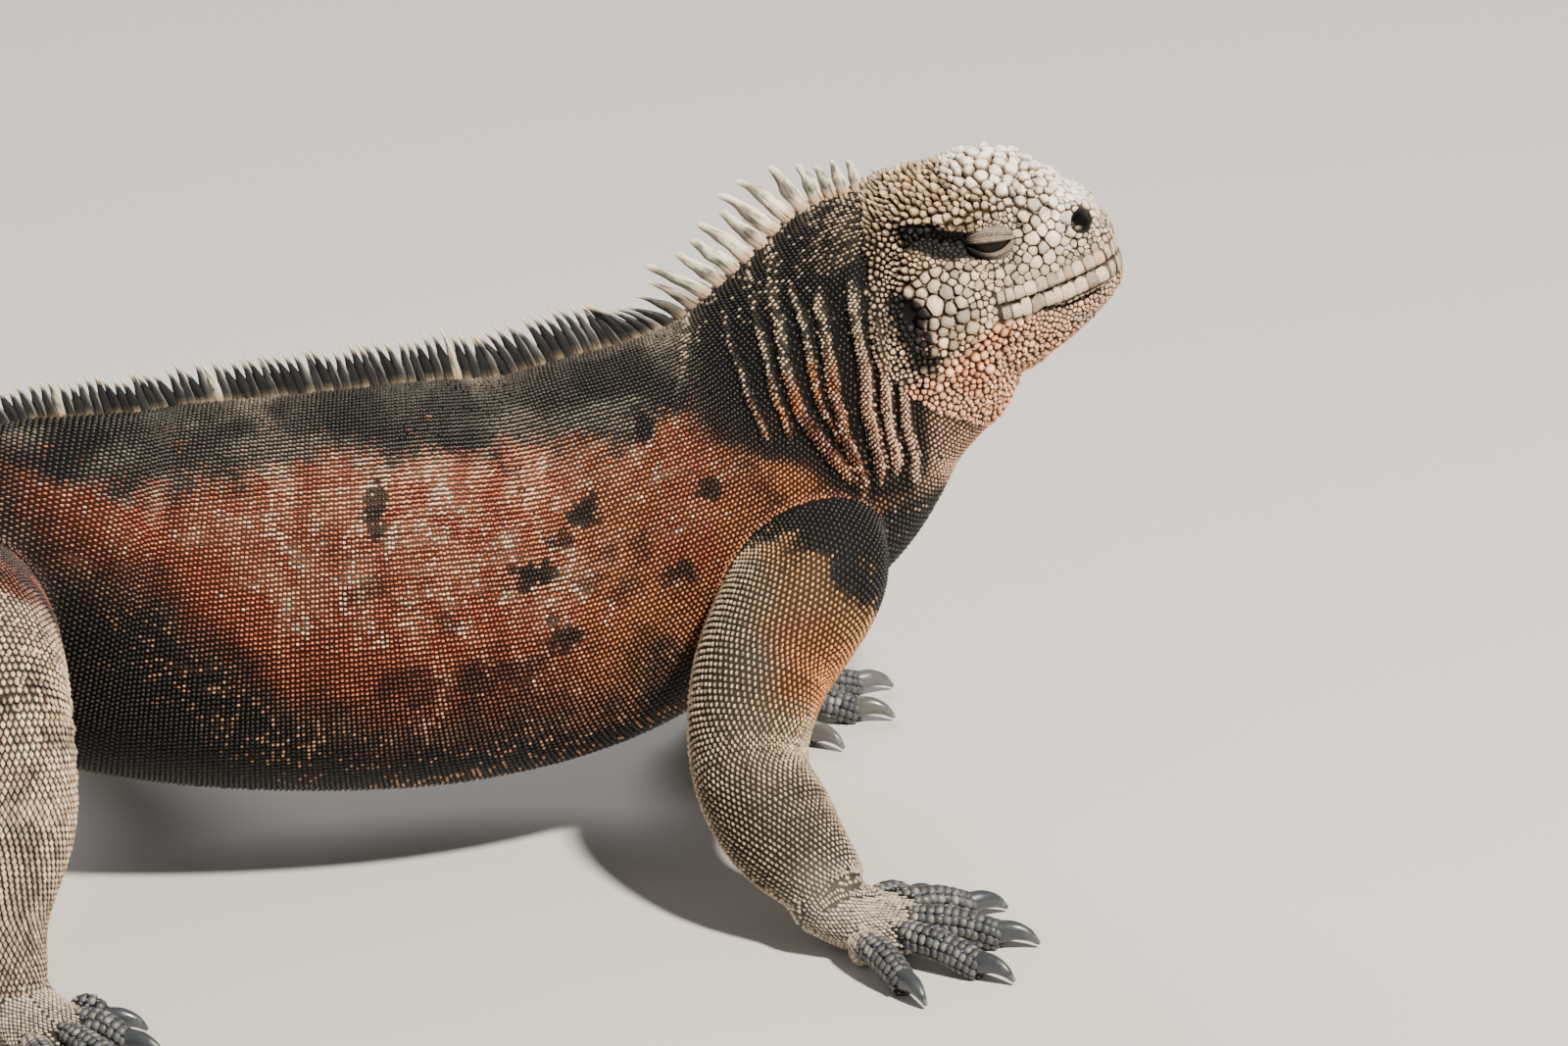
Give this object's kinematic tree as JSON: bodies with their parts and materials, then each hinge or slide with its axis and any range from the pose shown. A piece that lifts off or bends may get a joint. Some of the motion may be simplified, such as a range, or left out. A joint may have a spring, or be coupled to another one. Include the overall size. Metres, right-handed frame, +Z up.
{
  "type": "marine iguana model",
  "caption": "Life-size marine iguana standing on straight forelegs with its head raised, a spined crest from nape to tail, and its long tail laid in a curve on the floor.",
  "frame": {"origin": "middle of the footprint of the whole model, on the floor", "axes": "+X from the tail towards the snout, +Y to the animal's left, +Z up"},
  "size_m": [0.7732, 0.369, 0.1884],
  "materials": {
    "body_scales": "dry beaded scales, grey-black back over a brick-red flank",
    "head_scales": "blunt plates whitened with salt, pinkish tan throat",
    "limb_scales": "dry pointed scales, tan to grey-brown",
    "crest": "dry horny spines, bone pale with dark streaks",
    "claw": "polished dark horn",
    "eye": "wet and dark"
  },
  "bodies": {
    "root": {"eye_left": "eye", "eye_right": "eye", "upper_arm_right": "limb_scales", "forearm_right": "limb_scales", "hand_right": "limb_scales", "claw_1_hand_right": "claw", "claw_2_hand_right": "claw", "claw_3_hand_right": "claw", "claw_4_hand_right": "claw", "claw_5_hand_right": "claw", "upper_arm_left": "limb_scales", "forearm_left": "limb_scales", "hand_left": "limb_scales", "claw_1_hand_left": "claw", "claw_2_hand_left": "claw", "claw_3_hand_left": "claw", "claw_4_hand_left": "claw", "claw_5_hand_left": "claw", "thigh_right": "limb_scales", "shin_right": "limb_scales", "foot_right": "limb_scales", "claw_1_foot_right": "claw", "claw_2_foot_right": "claw", "claw_3_foot_right": "claw", "claw_4_foot_right": "claw", "claw_5_foot_right": "claw", "thigh_left": "limb_scales", "shin_left": "limb_scales", "foot_left": "limb_scales", "claw_1_foot_left": "claw", "claw_2_foot_left": "claw", "claw_3_foot_left": "claw", "claw_4_foot_left": "claw", "claw_5_foot_left": "claw", "neck": "body_scales", "torso_front": "body_scales", "torso_rear": "body_scales", "tail_base": "body_scales", "tail_middle": "body_scales", "tail_rear": "body_scales", "tail_tip": "body_scales", "head": "head_scales", "lower_jaw": "head_scales"}
  },
  "joints": []
}
